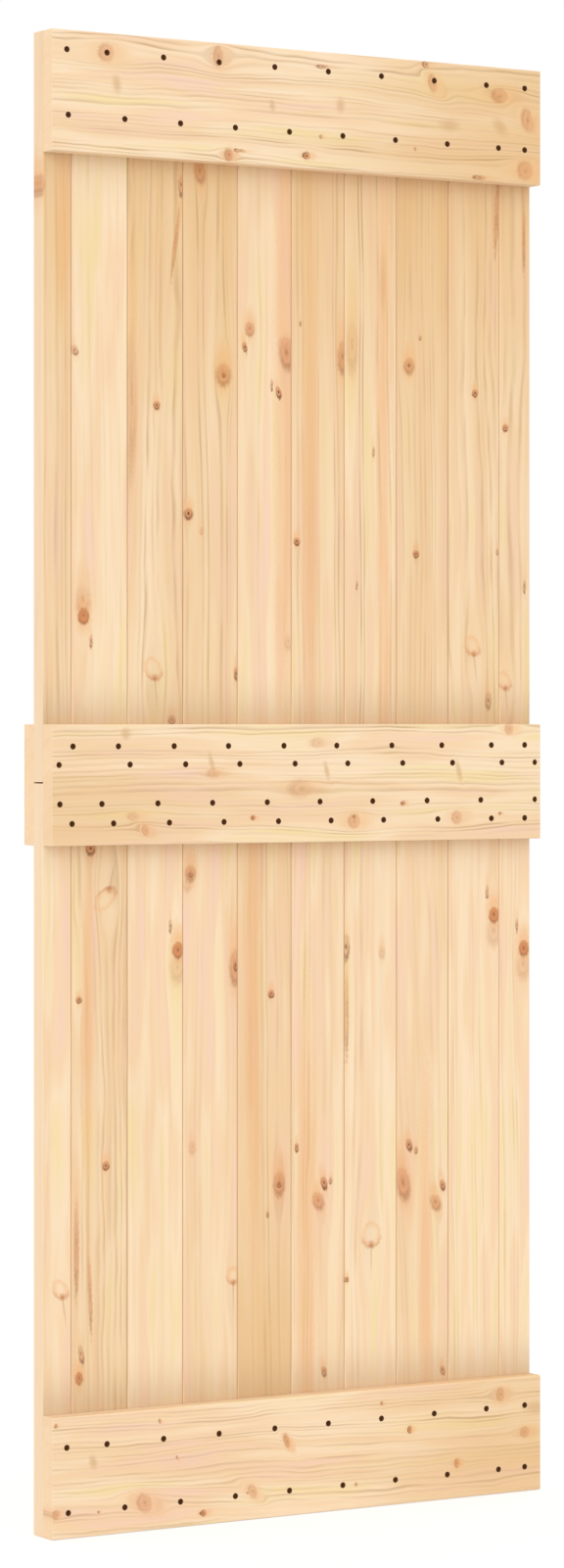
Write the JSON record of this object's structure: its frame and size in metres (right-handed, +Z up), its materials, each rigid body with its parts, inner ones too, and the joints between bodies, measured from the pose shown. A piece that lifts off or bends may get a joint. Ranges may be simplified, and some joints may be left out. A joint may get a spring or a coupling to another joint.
{
  "type": "barn door",
  "caption": "Ledged barn door leaf of upright tongue-and-groove pine boards in two tiers, joined by screwed cross ledges at top, middle and bottom.",
  "frame": {"origin": "on the floor, at the middle of the leaf's width and of the boards' thickness", "axes": "+X along the door to the right as seen from its screwed side, +Y from the screwed side to the back, +Z up"},
  "size_m": [0.8, 0.081, 2.045],
  "materials": {
    "pine_board": "planed, unfinished",
    "pine_ledge": "planed, unfinished",
    "black_screw": "black phosphate coating, dull"
  },
  "bodies": {
    "root": {"top_ledge": "pine_ledge", "bottom_ledge": "pine_ledge", "middle_ledge_front": "pine_ledge", "middle_ledge_rear": "pine_ledge", "upper_board_01": "pine_board", "upper_board_02": "pine_board", "upper_board_03": "pine_board", "upper_board_04": "pine_board", "upper_board_05": "pine_board", "upper_board_06": "pine_board", "upper_board_07": "pine_board", "upper_board_08": "pine_board", "upper_board_09": "pine_board", "upper_board_10": "pine_board", "lower_board_01": "pine_board", "lower_board_02": "pine_board", "lower_board_03": "pine_board", "lower_board_04": "pine_board", "lower_board_05": "pine_board", "lower_board_06": "pine_board", "lower_board_07": "pine_board", "lower_board_08": "pine_board", "lower_board_09": "pine_board", "lower_board_10": "pine_board", "top_ledge_screws": "black_screw", "bottom_ledge_screws": "black_screw", "middle_ledge_screws": "black_screw"}
  },
  "joints": []
}
